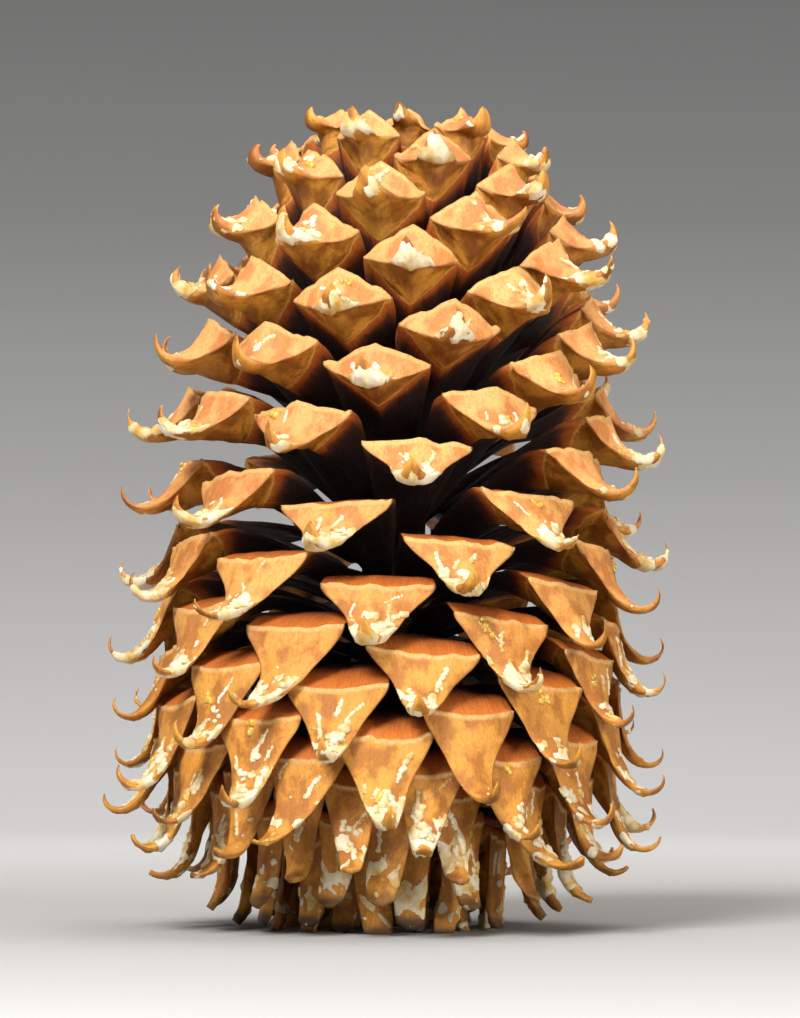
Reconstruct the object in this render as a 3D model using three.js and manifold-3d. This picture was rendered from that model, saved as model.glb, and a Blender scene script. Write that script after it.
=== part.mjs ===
// A large, open, clawed pine cone that stands on its own lowest scales.
// Millimetres, +Z up.  The front of the cone looks along -Y.
//
// The cone is a woody axis and 195 scales.  The scales sit on the axis one after another,
// each turned by the golden angle from the one before, so every thirteenth scale stands
// almost above its neighbour.  Those thirteen steep spiral rows are the sub-parts here:
// a row is a thin rib that runs up the axis and carries its fifteen scales.

import * as THREE from "three";
import { mergeVertices } from "three/addons/utils/BufferGeometryUtils.js";
import Module from "manifold-3d";

const wasm = await Module();
wasm.setup();

// ---- Driving dimensions -------------------------------------------------------------

const ROWS = 13;
const SCALES_PER_ROW = 15;

const TURN_PER_SCALE = THREE.MathUtils.degToRad(137.563);
const FIRST_AZIMUTH = THREE.MathUtils.degToRad(-27);

const LEAN_BACK = THREE.MathUtils.degToRad(6);
const LEAN_RIGHT = THREE.MathUtils.degToRad(2);
const PIVOT_HEIGHT = 130;
const FLOOR_BLOCK = 400;

const AXIS_RADIUS = 9.6;
const AXIS_BOTTOM = 20;
const AXIS_TOP = 214;
const AXIS_SIDES = 20;
const AXIS_END_RADIUS = 5;
const AXIS_END_LENGTH = 6;

const RIB_RADIUS = 2;
const RIB_SIDES = 4;
const RIB_REACH = 12;
const RIB_OVERRUN = 2;

const FOOT_REACH = 15.5;
const FOOT_HALF_WIDTH = 4;
const FOOT_THICKNESS = 3;
const ROOT_HALF_WIDTH = 1.5;
const BLADE_THICKNESS = 2.6;
const RIDGE_SETBACK = 3;
const TIP_HALF_WIDTH = 0.25;

// Where the rings of a scale stand: along the blade, and along the shield and claw.
const BLADE_MIDDLE = 0.45;
const CLAW_ROOT = 0.36;
const CLAW_NECK = 0.68;
// Half widths there, as parts of the half width at the shoulder, and the keel's depth
// as a part of its full depth.  Two values run from a sharp claw to a broken finger.
const BLADE_MIDDLE_WIDTH = 0.5;
const KEEL_START_WIDTH = 0.88;
const CLAW_ROOT_WIDTH = [0.54, 0.82];
const CLAW_NECK_WIDTH = [0.18, 0.7];
const BROKEN_TIP_WIDTH = 0.6;
const CLAW_ROOT_KEEL = 0.55;
const CLAW_ROOT_SIDE = 0.35;
const KEEL_START_RISE = 0.4;
const CLAW_ROOT_RISE = 0.3;
const CLAW_NECK_KEEL = [0.34, 0.7];
const TIP_FLATNESS = [1, 0.6];
const CLAW_STEPS = 24;

// One line per level of the cone, from the lowest scale to the highest:
// scale number, height of the foot, angle at which the blade leaves the axis,
// reach and height of the shoulder, angle of the blade at the shoulder,
// width over the shoulders, angle of the shield below the ridge, length of shield and
// claw along their curve, how late the claw turns up, the angle of its tip,
// depth of the keel, keel setback, how far the ridge's middle rises above its ends, how much
// higher the scales stand on the cone's front,
// and how blunt the tip is, from 0, a sharp claw, to 1, a broken finger.
const LEVELS = [
  [0, 26, -34, 21, 22, -80, 12, -88, 25, 3.0, -86, 3.5, 5, 0, 0, 0.9],
  [13, 30, -24, 33, 22, -80, 14, -90, 26, 3.0, -80, 4.5, 7, 0, 0, 0.9],
  [24, 35, -14, 43, 28, -78, 15, -91, 25, 3.0, -70, 5.0, 8, 0, 0, 0.8],
  [36, 42, -4, 53, 34, -72, 18, -89, 27, 3.2, -20, 5.5, 9, 0, 0, 0.5],
  [61, 57, 14, 70, 50, -50, 27, -84, 33, 3.5, 95, 6.0, 11, 0, -3, 0.1],
  [86, 81, 22, 71, 79, -34, 33, -80, 32, 3.4, 115, 7.0, 12, 0, -2, 0],
  [106, 102, 27, 69, 110, -20, 34, -72, 30, 3.0, 115, 7.5, 12, 0.5, 0, 0],
  [121, 119, 33, 66, 138, -3, 33, -61, 27, 2.4, 115, 8.0, 12, 2, 6, 0],
  [136, 137, 39, 63, 166, 14, 31, -54, 25, 2.0, 115, 8.5, 12, 6, 5, 0],
  [161, 166, 47, 53, 211, 45, 28, -44, 22, 1.7, 112, 9.0, 13, 7, 2, 0],
  [181, 189, 54, 32, 246, 68, 20, -38, 18, 1.6, 110, 7.5, 11, 5, 0, 0],
  [187, 195, 60, 22, 247, 78, 15, -30, 14, 1.6, 105, 5.0, 8, 3, 0, 0],
  [194, 202, 72, 13, 236, 90, 8, -10, 8, 1.6, 100, 3.0, 5, 2, 0, 0],
];
const COLUMN = {
  footHeight: 1, footAngle: 2, shoulderReach: 3, shoulderHeight: 4, shoulderAngle: 5, width: 6,
  shieldAngle: 7, clawLength: 8, clawBend: 9, tipAngle: 10, keelDepth: 11, keelSetback: 12,
  ridgeRise: 13, frontLift: 14, bluntness: 15,
};
const ANGLES = ["footAngle", "shoulderAngle", "shieldAngle", "tipAngle"];

// ---- Numbers for one scale ----------------------------------------------------------

// Smooth curve through the levels of one column.
function level(column, scale) {
  let i = 0;
  while (i < LEVELS.length - 2 && scale > LEVELS[i + 1][0]) i += 1;
  const slope = (j) => {
    const before = LEVELS[Math.max(j - 1, 0)];
    const after = LEVELS[Math.min(j + 1, LEVELS.length - 1)];
    return (after[column] - before[column]) / (after[0] - before[0]);
  };
  const span = LEVELS[i + 1][0] - LEVELS[i][0];
  const t = (scale - LEVELS[i][0]) / span;
  const start = LEVELS[i][column];
  const end = LEVELS[i + 1][column];
  return (
    (2 * t ** 3 - 3 * t ** 2 + 1) * start + (t ** 3 - 2 * t ** 2 + t) * span * slope(i)
    + (3 * t ** 2 - 2 * t ** 3) * end + (t ** 3 - t ** 2) * span * slope(i + 1)
  );
}

function scaleShape(scale) {
  const shape = {};
  for (const [name, column] of Object.entries(COLUMN)) {
    const value = level(column, scale);
    shape[name] = ANGLES.includes(name) ? THREE.MathUtils.degToRad(value) : value;
  }
  shape.azimuth = FIRST_AZIMUTH + scale * TURN_PER_SCALE;
  shape.shoulderHeight += shape.frontLift * Math.cos(shape.azimuth);
  return shape;
}

// ---- The curve of a scale, in the plane through the axis ----------------------------
// x is the reach from the axis and y the height.

const direction = (angle) => new THREE.Vector2(Math.cos(angle), Math.sin(angle));
const upFrom = (angle) => new THREE.Vector2(-Math.sin(angle), Math.cos(angle));

// The blade: a curve that leaves the axis at one angle and reaches the shoulder at another.
function bladePoint(shape, t) {
  const foot = new THREE.Vector2(FOOT_REACH, shape.footHeight);
  const shoulder = new THREE.Vector2(shape.shoulderReach, shape.shoulderHeight);
  const pull = foot.distanceTo(shoulder) / 3;
  const curve = new THREE.CubicBezierCurve(
    foot,
    foot.clone().addScaledVector(direction(shape.footAngle), pull),
    shoulder.clone().addScaledVector(direction(shape.shoulderAngle), -pull),
    shoulder,
  );
  return { point: curve.getPoint(t), angle: curve.getTangent(t).angle(), length: curve.getLength() };
}

// The shield and its claw: the angle turns from the shield's own slope to the claw's tip.
function clawPoint(shape, t) {
  const point = new THREE.Vector2(shape.shoulderReach, shape.shoulderHeight);
  const angleAt = (s) => shape.shieldAngle + (shape.tipAngle - shape.shieldAngle) * s ** shape.clawBend;
  for (let i = 0; i < CLAW_STEPS; i += 1) {
    const middle = ((i + 0.5) / CLAW_STEPS) * t;
    point.addScaledVector(direction(angleAt(middle)), (shape.clawLength * t) / CLAW_STEPS);
  }
  return { point, angle: angleAt(t) };
}

// ---- One scale as a solid -----------------------------------------------------------

// The rings of a scale from its root to its claw: a top point, two side points and a
// keel point, each in the plane through the axis, and the half width of the side points.
function scaleRings(shape) {
  const { bluntness, keelDepth, ridgeRise } = shape;
  const halfWidth = shape.width / 2;
  const byBluntness = ([sharp, broken]) => THREE.MathUtils.lerp(sharp, broken, bluntness);
  const rings = [];
  const ring = (top, side, keel, half) => rings.push({ top, side, keel, half });
  const flat = (point, angle, half, thickness) => ring(
    point.clone().addScaledVector(upFrom(angle), thickness / 2), point,
    point.clone().addScaledVector(upFrom(angle), -thickness / 2), half,
  );
  const root = new THREE.Vector2(RIB_REACH, shape.footHeight);
  flat(root, shape.footAngle, ROOT_HALF_WIDTH, FOOT_THICKNESS * 0.7);
  const foot = bladePoint(shape, 0);
  flat(foot.point, foot.angle, FOOT_HALF_WIDTH, FOOT_THICKNESS);
  const middle = bladePoint(shape, BLADE_MIDDLE);
  const middleHalf = THREE.MathUtils.lerp(FOOT_HALF_WIDTH, halfWidth, BLADE_MIDDLE_WIDTH);
  flat(middle.point, middle.angle, middleHalf, BLADE_THICKNESS);

  const keelAt = 1 - shape.keelSetback / foot.length;
  const back = bladePoint(shape, keelAt);
  const backKeel = back.point.clone().addScaledVector(upFrom(back.angle), -keelDepth);
  const backRise = ridgeRise * KEEL_START_RISE;
  const backHalf = THREE.MathUtils.lerp(FOOT_HALF_WIDTH, halfWidth, KEEL_START_WIDTH);
  ring(
    back.point.clone().addScaledVector(upFrom(back.angle), BLADE_THICKNESS / 2 + backRise),
    back.point.clone(), backKeel, backHalf,
  );
  const claw = clawPoint(shape, CLAW_ROOT);
  const clawKeel = claw.point.clone()
    .addScaledVector(upFrom(claw.angle), -keelDepth * CLAW_ROOT_KEEL);
  const shoulder = new THREE.Vector2(shape.shoulderReach, shape.shoulderHeight);
  const wing = shoulder.clone().addScaledVector(direction(shape.shoulderAngle), -RIDGE_SETBACK);
  const crest = shoulder.clone().addScaledVector(upFrom(shape.shoulderAngle), ridgeRise);
  ring(crest, wing, backKeel.clone().lerp(clawKeel, 0.5), halfWidth);
  ring(
    claw.point.clone().addScaledVector(upFrom(claw.angle), ridgeRise * CLAW_ROOT_RISE),
    claw.point.clone().lerp(clawKeel, CLAW_ROOT_SIDE), clawKeel,
    halfWidth * byBluntness(CLAW_ROOT_WIDTH),
  );
  const neck = clawPoint(shape, CLAW_NECK);
  const neckDepth = keelDepth * byBluntness(CLAW_NECK_KEEL);
  flat(neck.point, neck.angle, halfWidth * byBluntness(CLAW_NECK_WIDTH), neckDepth);
  const tip = clawPoint(shape, 1);
  const tipHalf = byBluntness([TIP_HALF_WIDTH, halfWidth * BROKEN_TIP_WIDTH]);
  flat(tip.point, tip.angle, tipHalf, 2 * tipHalf * byBluntness(TIP_FLATNESS));
  return rings;
}

// Turns a point of that plane to the scale's own azimuth, leaning with the whole cone.
const lean = new THREE.Matrix4()
  .makeTranslation(0, 0, PIVOT_HEIGHT)
  .multiply(new THREE.Matrix4().makeRotationY(LEAN_RIGHT))
  .multiply(new THREE.Matrix4().makeRotationX(-LEAN_BACK))
  .multiply(new THREE.Matrix4().makeTranslation(0, 0, -PIVOT_HEIGHT));

function place(reach, sideways, height, azimuth) {
  const x = reach * Math.sin(azimuth) + sideways * Math.cos(azimuth);
  const y = -reach * Math.cos(azimuth) + sideways * Math.sin(azimuth);
  return new THREE.Vector3(x, y, height).applyMatrix4(lean);
}

// A four-sided bar whose rings are moved to the rings of the scale.
function scaleGeometry(scale) {
  const shape = scaleShape(scale);
  const rings = scaleRings(shape);
  const last = rings.length - 1;
  const geometry = new THREE.CylinderGeometry(1, 1, last, 4, last);
  const position = geometry.getAttribute("position");
  for (let v = 0; v < position.count; v += 1) {
    const { top, side, keel, half } = rings[Math.round(position.getY(v) + last / 2)];
    const across = -position.getX(v);
    const upward = position.getZ(v);
    let point = side;
    if (upward > 0.5) point = top;
    if (upward < -0.5) point = keel;
    const moved = place(point.x, across * half, point.y, shape.azimuth);
    position.setXYZ(v, moved.x, moved.y, moved.z);
  }
  return geometry;
}

// ---- Solids -------------------------------------------------------------------------

function toSolid(geometry) {
  geometry.deleteAttribute("normal");
  geometry.deleteAttribute("uv");
  const merged = mergeVertices(geometry);
  return new wasm.Manifold(new wasm.Mesh({
    numProp: 3,
    vertProperties: new Float32Array(merged.getAttribute("position").array),
    triVerts: new Uint32Array(merged.index.array),
  }));
}

function toGeometry(solid) {
  const mesh = solid.getMesh();
  const geometry = new THREE.BufferGeometry();
  geometry.setAttribute("position", new THREE.Float32BufferAttribute(mesh.vertProperties, 3));
  geometry.setIndex(new THREE.Uint32BufferAttribute(mesh.triVerts, 1));
  geometry.computeVertexNormals();
  return geometry;
}

// The rib that joins the scales of one row along the axis.
function ribGeometry(row) {
  const points = [];
  const passFoot = (scale, shift) => {
    const shape = scaleShape(scale);
    points.push(place(RIB_REACH, 0, shape.footHeight + shift, shape.azimuth));
  };
  passFoot(row, -RIB_OVERRUN);
  for (let n = 0; n < SCALES_PER_ROW; n += 1) passFoot(row + n * ROWS, 0);
  passFoot(row + (SCALES_PER_ROW - 1) * ROWS, RIB_OVERRUN);
  const section = new THREE.Shape(
    Array.from({ length: RIB_SIDES }, (unused, i) => (i / RIB_SIDES) * 2 * Math.PI)
      .map((a) => new THREE.Vector2(RIB_RADIUS * Math.cos(a), RIB_RADIUS * Math.sin(a))),
  );
  return new THREE.ExtrudeGeometry(section, {
    steps: SCALES_PER_ROW + 1,
    extrudePath: new THREE.CatmullRomCurve3(points),
  });
}

// Everything below the floor is cut away, so the lowest tips end in small flats.
function belowFloor() {
  const box = new THREE.BoxGeometry(FLOOR_BLOCK, FLOOR_BLOCK, FLOOR_BLOCK);
  box.translate(0, 0, -FLOOR_BLOCK / 2);
  return toSolid(box);
}

function rowGeometry(row) {
  let solid = toSolid(ribGeometry(row));
  for (let n = 0; n < SCALES_PER_ROW; n += 1) {
    solid = solid.add(toSolid(scaleGeometry(row + n * ROWS)));
  }
  return toGeometry(solid.subtract(belowFloor()));
}

function axisGeometry() {
  const outline = [
    new THREE.Vector2(0, AXIS_BOTTOM),
    new THREE.Vector2(AXIS_END_RADIUS, AXIS_BOTTOM),
    new THREE.Vector2(AXIS_RADIUS, AXIS_BOTTOM + AXIS_END_LENGTH),
    new THREE.Vector2(AXIS_RADIUS, AXIS_TOP - AXIS_END_LENGTH),
    new THREE.Vector2(AXIS_END_RADIUS, AXIS_TOP),
    new THREE.Vector2(0, AXIS_TOP),
  ];
  const geometry = new THREE.LatheGeometry(outline, AXIS_SIDES);
  geometry.rotateX(Math.PI / 2);
  geometry.applyMatrix4(lean);
  return toGeometry(toSolid(geometry));
}

// ---- The part -----------------------------------------------------------------------

const scaleWood = () => new THREE.MeshStandardMaterial({ color: 0xb9793b, roughness: 0.7, metalness: 0 });
const axisWood = () => new THREE.MeshStandardMaterial({ color: 0x3a2418, roughness: 0.85, metalness: 0 });

const cone = new THREE.Group();

const axis = new THREE.Mesh(axisGeometry(), axisWood());
axis.name = "axis";
cone.add(axis);

for (let row = 0; row < ROWS; row += 1) {
  const mesh = new THREE.Mesh(rowGeometry(row), scaleWood());
  mesh.name = `scale_row_${String(row + 1).padStart(2, "0")}`;
  cone.add(mesh);
}

// The origin is the middle of the cone's own box, on the floor.
const box = new THREE.Box3().setFromObject(cone);
const middle = box.getCenter(new THREE.Vector3());
cone.position.set(-middle.x, -middle.y, 0);

export default cone;
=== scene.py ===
# %% [markdown]
# # A large, open, clawed pine cone
#
# The cone is a woody axis with 195 scales.  Each scale is a blade that leaves the axis,
# a sharp toothed ridge, a shield below the ridge and a hooked claw.  The scales follow one
# another by the golden angle, so every thirteenth one stands nearly above its neighbour.
# The solid model groups them into those thirteen steep rows, and so does this script.
#
# Lengths are in millimetres while a shape is worked out, and in metres in the meshes.

# %% Load the frame
import math

import bmesh
import bpy
import numpy as np
from mathutils import Matrix, Vector


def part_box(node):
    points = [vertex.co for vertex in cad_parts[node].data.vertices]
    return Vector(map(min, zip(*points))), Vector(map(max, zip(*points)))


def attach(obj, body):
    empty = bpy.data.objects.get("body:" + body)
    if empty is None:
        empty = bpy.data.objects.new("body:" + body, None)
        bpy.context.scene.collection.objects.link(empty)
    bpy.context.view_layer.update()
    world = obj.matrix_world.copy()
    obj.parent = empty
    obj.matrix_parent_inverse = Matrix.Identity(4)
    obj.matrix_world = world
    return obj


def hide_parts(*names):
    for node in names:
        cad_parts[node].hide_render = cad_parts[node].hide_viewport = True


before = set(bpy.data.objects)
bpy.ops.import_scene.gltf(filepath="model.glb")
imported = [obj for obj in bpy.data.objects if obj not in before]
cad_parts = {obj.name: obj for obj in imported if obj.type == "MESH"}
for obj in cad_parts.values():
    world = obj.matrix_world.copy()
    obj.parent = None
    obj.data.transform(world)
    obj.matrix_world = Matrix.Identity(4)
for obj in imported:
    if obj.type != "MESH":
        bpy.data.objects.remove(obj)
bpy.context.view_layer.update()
MM = 0.001

# %% [markdown]
# ## Where the cone stands
#
# The cone leans back and a little to the right on its lowest tips.  Everything is worked
# out round an upright axis first and then leaned with one matrix.  The solid model put the
# middle of its box at the origin, and the axis piece tells how far that moved the cone: its
# box is centred on the middle of the axis, wherever that is.

# %% Lean and place
PIVOT_HEIGHT = 130
LEAN_BACK = math.radians(6)
LEAN_RIGHT = math.radians(2)
AXIS_BOTTOM = 20
AXIS_TOP = 214

TURN = Matrix.Rotation(LEAN_RIGHT, 4, "Y") @ Matrix.Rotation(-LEAN_BACK, 4, "X")
LEAN = Matrix.Translation((0, 0, PIVOT_HEIGHT)) @ TURN @ Matrix.Translation((0, 0, -PIVOT_HEIGHT))

axis_low, axis_high = [Vector(corner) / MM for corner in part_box("axis")]
leaned_middle = LEAN @ Vector((0, 0, (AXIS_BOTTOM + AXIS_TOP) / 2))
SHIFT = (axis_low + axis_high) / 2 - leaned_middle
SHIFT.z = 0
PLACE = Matrix.Scale(MM, 4) @ Matrix.Translation(SHIFT) @ LEAN
print("shift in mm", [round(x, 2) for x in SHIFT])

# %% [markdown]
# ## Camera
#
# A long lens from a little over a metre away keeps the cone's sides nearly parallel.  The
# camera stands low and looks slightly up, which shows the undersides of the top scales and
# the upper sides of the low ones.

# %% Camera
CAMERA_DISTANCE = 1200
CAMERA_LOOKS_UP = math.radians(3.5)
AIM = Vector((1.5, 0, PIVOT_HEIGHT - 1)) + SHIFT
SEEN_WIDTH = 247.7

camera_data = bpy.data.cameras.new("camera")
camera_data.sensor_fit = "HORIZONTAL"
camera_data.sensor_width = 36
camera_data.lens = 36 * CAMERA_DISTANCE / SEEN_WIDTH
camera_data.clip_start = 0.05
camera_data.clip_end = 50
camera = bpy.data.objects.new("camera", camera_data)
bpy.context.collection.objects.link(camera)
look = Vector((0, math.cos(CAMERA_LOOKS_UP), math.sin(CAMERA_LOOKS_UP)))
camera.location = (AIM - look * CAMERA_DISTANCE) * MM
camera.rotation_euler = look.to_track_quat("-Z", "Y").to_euler()
bpy.context.scene.camera = camera
print("camera at", [round(x, 3) for x in camera.location])

# %% [markdown]
# ## Floor, backdrop and light
#
# The floor is a wide round sheet that curves up into a wall, so that no horizon shows from
# any side.  It is one outline spun round the upright axis.  Its grey is painted shade: pale
# on the floor away from the cone, darker on the floor close to the cone, and darker and
# darker up the wall, so the backdrop fades evenly.

# %% Round studio sweep
FLOOR_RADIUS = 1.4
SWEEP_RADIUS = 2.0
WALL_TOP = 4.5

bm = bmesh.new()
outline = [bm.verts.new((0.0, 0, 0)), bm.verts.new((FLOOR_RADIUS, 0, 0))]
for step in range(1, 25):
    a = math.pi / 2 * step / 24
    outline.append(bm.verts.new(
        (FLOOR_RADIUS + SWEEP_RADIUS * math.sin(a), 0, SWEEP_RADIUS * (1 - math.cos(a)))
    ))
outline.append(bm.verts.new((FLOOR_RADIUS + SWEEP_RADIUS, 0, WALL_TOP)))
edges = [bm.edges.new(pair) for pair in zip(outline, outline[1:])]
bmesh.ops.spin(
    bm, geom=outline + edges, cent=(0, 0, 0), axis=(0, 0, 1),
    angle=2 * math.pi, steps=96, use_merge=True,
)
bmesh.ops.remove_doubles(bm, verts=bm.verts, dist=1e-5)
bmesh.ops.recalc_face_normals(bm, faces=bm.faces)
for face in bm.faces:
    face.smooth = True
sweep_mesh = bpy.data.meshes.new("studio_sweep")
bm.to_mesh(sweep_mesh)
bm.free()
sweep = bpy.data.objects.new("studio_sweep", sweep_mesh)
bpy.context.collection.objects.link(sweep)
print("sweep faces", len(sweep_mesh.polygons))

# %% Paper with painted shade
sweep_material = bpy.data.materials.new("paper_with_painted_shade")
sweep_material.use_nodes = True
paper = sweep_material.node_tree.nodes["Principled BSDF"]
paper.inputs["Roughness"].default_value = 0.95
paper.inputs["Specular IOR Level"].default_value = 0.0
paper_tree = sweep_material.node_tree
paper_place = paper_tree.nodes.new("ShaderNodeTexCoord").outputs["Object"]
paper_split = paper_tree.nodes.new("ShaderNodeSeparateXYZ")
painted_shade_ramp = paper_tree.nodes.new("ShaderNodeValToRGB")
# Height in metres and grey, painted shade that darkens up the wall.  The floor counts as up to
# 0.02 higher far from the cone, so it is painted darker close to the cone.
PAINTED_SHADE_GREYS = (
    (0.0, 0.38), (0.02, 0.66), (0.12, 0.57), (0.32, 0.41), (0.62, 0.26), (1.0, 0.18),
)
while len(painted_shade_ramp.color_ramp.elements) < len(PAINTED_SHADE_GREYS):
    painted_shade_ramp.color_ramp.elements.new(0.5)
for element, (at, grey) in zip(painted_shade_ramp.color_ramp.elements, PAINTED_SHADE_GREYS):
    element.position = at
    element.color = (grey, grey, grey, 1)
paper_tree.links.new(paper_place, paper_split.inputs[0])
paper_far = paper_tree.nodes.new("ShaderNodeVectorMath")
paper_far.operation = "LENGTH"
floor_shade_by_distance = paper_tree.nodes.new("ShaderNodeMapRange")
floor_shade_by_distance.interpolation_type = "SMOOTHSTEP"
for label, amount in (("From Min", 0.0), ("From Max", 1.1), ("To Min", 0.0), ("To Max", 0.02)):
    floor_shade_by_distance.inputs[label].default_value = amount
paper_sum = paper_tree.nodes.new("ShaderNodeMath")
paper_tree.links.new(paper_place, paper_far.inputs[0])
paper_tree.links.new(paper_far.outputs["Value"], floor_shade_by_distance.inputs["Value"])
paper_tree.links.new(floor_shade_by_distance.outputs["Result"], paper_sum.inputs[0])
paper_tree.links.new(paper_split.outputs["Z"], paper_sum.inputs[1])
paper_tree.links.new(paper_sum.outputs["Value"], painted_shade_ramp.inputs["Fac"])
paper_tree.links.new(painted_shade_ramp.outputs["Color"], paper.inputs["Base Color"])
sweep_mesh.materials.append(sweep_material)
print("paper greys", [grey for _, grey in PAINTED_SHADE_GREYS])

# %% [markdown]
# ## Light
#
# The key light is a soft panel in front, above and to the left.  A second panel fills from
# low on the right in a narrow spread, and a third lights the crown from above.  Four washes
# hang above the floor, one for each side, and light mostly the wall, so the backdrop is
# much the same from everywhere.  The rest of the room is dim, so the gaps between the
# scales stay deep.

# %% Lamps
CONE_MIDDLE = Vector((0, 0, 0.12))


def lamp(name, place, size, power, warmth=1.0):
    """A square soft light that looks at the middle of the cone and isn't seen itself."""
    data = bpy.data.lights.new(name, "AREA")
    data.shape = "SQUARE"
    data.size = size
    data.energy = power
    data.color = (1.0, 1.0 - 0.06 * warmth, 1.0 - 0.14 * warmth)
    item = bpy.data.objects.new(name, data)
    item.location = place
    item.visible_camera = False
    item.rotation_euler = (CONE_MIDDLE - Vector(place)).to_track_quat("-Z", "Y").to_euler()
    bpy.context.collection.objects.link(item)
    return item


lamp("key_light", (-0.5, -1.1, 1.2), 0.55, 37, 0.35)
fill = lamp("fill_light", (1.0, -1.2, 0.45), 0.45, 2.8)
fill.data.spread = math.radians(80)
lamp("crown_light", (0.3, 0.3, 1.8), 0.8, 14)
WASHES = {
    "front_wash": (0, -1), "back_wash": (0, 1), "left_wash": (-1, 0), "right_wash": (1, 0),
}
WASH_OUT, WASH_UP, WALL_OUT, WALL_UP = 1.3, 2.0, 3.2, 0.35
for name, (x, y) in WASHES.items():
    wash = lamp(name, (WASH_OUT * x, WASH_OUT * y, WASH_UP), 1.2, 24, 0.0)
    towards_wall = Vector((WALL_OUT * x, WALL_OUT * y, WALL_UP)) - wash.location
    wash.rotation_euler = towards_wall.to_track_quat("-Z", "Y").to_euler()

world = bpy.data.worlds.new("dim_room")
world.use_nodes = True
world.node_tree.nodes["Background"].inputs["Color"].default_value = (1, 1, 1, 1)
world.node_tree.nodes["Background"].inputs["Strength"].default_value = 0.06
bpy.context.scene.world = world
bpy.context.scene.view_settings.view_transform = "Standard"

# %% [markdown]
# ## The order and the sizes of the scales
#
# One line stands for one level of the cone, from the lowest scale to the highest, and a
# smooth curve runs through each column.  These are the numbers of the solid model, so each
# scale lands exactly where its solid is.

# %% Levels
ROWS = 13
SCALES_PER_ROW = 15
TURN_PER_SCALE = math.radians(137.563)
FIRST_AZIMUTH = math.radians(-27)

COLUMNS = (
    "scale", "foot_height", "foot_angle", "shoulder_reach", "shoulder_height", "shoulder_angle",
    "width", "shield_angle", "claw_length", "claw_bend", "tip_angle", "keel_depth",
    "keel_setback", "ridge_rise", "front_lift", "bluntness",
)
LEVELS = [
    [0, 26, -34, 21, 22, -80, 12, -88, 25, 3.0, -86, 3.5, 5, 0, 0, 0.9],
    [13, 30, -24, 33, 22, -80, 14, -90, 26, 3.0, -80, 4.5, 7, 0, 0, 0.9],
    [24, 35, -14, 43, 28, -78, 15, -91, 25, 3.0, -70, 5.0, 8, 0, 0, 0.8],
    [36, 42, -4, 53, 34, -72, 18, -89, 27, 3.2, -20, 5.5, 9, 0, 0, 0.5],
    [61, 57, 14, 70, 50, -50, 27, -84, 33, 3.5, 95, 6.0, 11, 0, -3, 0.1],
    [86, 81, 22, 71, 79, -34, 33, -80, 32, 3.4, 115, 7.0, 12, 0, -2, 0],
    [106, 102, 27, 69, 110, -20, 34, -72, 30, 3.0, 115, 7.5, 12, 0.5, 0, 0],
    [121, 119, 33, 66, 138, -3, 33, -61, 27, 2.4, 115, 8.0, 12, 2, 6, 0],
    [136, 137, 39, 63, 166, 14, 31, -54, 25, 2.0, 115, 8.5, 12, 6, 5, 0],
    [161, 166, 47, 53, 211, 45, 28, -44, 22, 1.7, 112, 9.0, 13, 7, 2, 0],
    [181, 189, 54, 32, 246, 68, 20, -38, 18, 1.6, 110, 7.5, 11, 5, 0, 0],
    [187, 195, 60, 22, 247, 78, 15, -30, 14, 1.6, 105, 5.0, 8, 3, 0, 0],
    [194, 202, 72, 13, 236, 90, 8, -10, 8, 1.6, 100, 3.0, 5, 2, 0, 0],
]
LAST_SCALE = LEVELS[-1][0]


def level(column, scale):
    """The value of one column at any scale, on a smooth curve through the levels."""
    i = max(j for j in range(len(LEVELS) - 1) if scale >= LEVELS[j][0])

    def slope(j):
        before, after = LEVELS[max(j - 1, 0)], LEVELS[min(j + 1, len(LEVELS) - 1)]
        return (after[column] - before[column]) / (after[0] - before[0])

    span = LEVELS[i + 1][0] - LEVELS[i][0]
    t = (scale - LEVELS[i][0]) / span
    return (
        (2 * t**3 - 3 * t**2 + 1) * LEVELS[i][column] + (t**3 - 2 * t**2 + t) * span * slope(i)
        + (3 * t**2 - 2 * t**3) * LEVELS[i + 1][column] + (t**3 - t**2) * span * slope(i + 1)
    )


def scale_shape(scale):
    """All the numbers of one scale by name, with angles in radians."""
    shape = {name: level(column, scale) for column, name in enumerate(COLUMNS)}
    for name in COLUMNS:
        if name.endswith("_angle"):
            shape[name] = math.radians(shape[name])
    shape["azimuth"] = FIRST_AZIMUTH + scale * TURN_PER_SCALE
    shape["shoulder_height"] += shape["front_lift"] * math.cos(shape["azimuth"])
    return shape


print("scale 100", {k: round(v, 2) for k, v in scale_shape(100).items()})

# %% [markdown]
# ## One plain scale to bend
#
# Every scale starts as the same closed tube: a ring of points that is extruded along and
# closed at both ends.  Each point remembers its ring and its place round the ring.  Bending
# copies of one tube by a formula gives every scale its own size and shape, which a stamped
# copy could not, and the tube's even grid leaves no gaps and no stray points.  The bending
# turns the tube inside out, so its faces are reversed here and point outwards in the end.

# %% The tube
BLADE_RINGS = 15
SHIELD_RINGS = 30
RINGS = BLADE_RINGS + SHIELD_RINGS
TOP_POINTS = 21
BOTTOM_POINTS = 11
AROUND = TOP_POINTS + BOTTOM_POINTS

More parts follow.
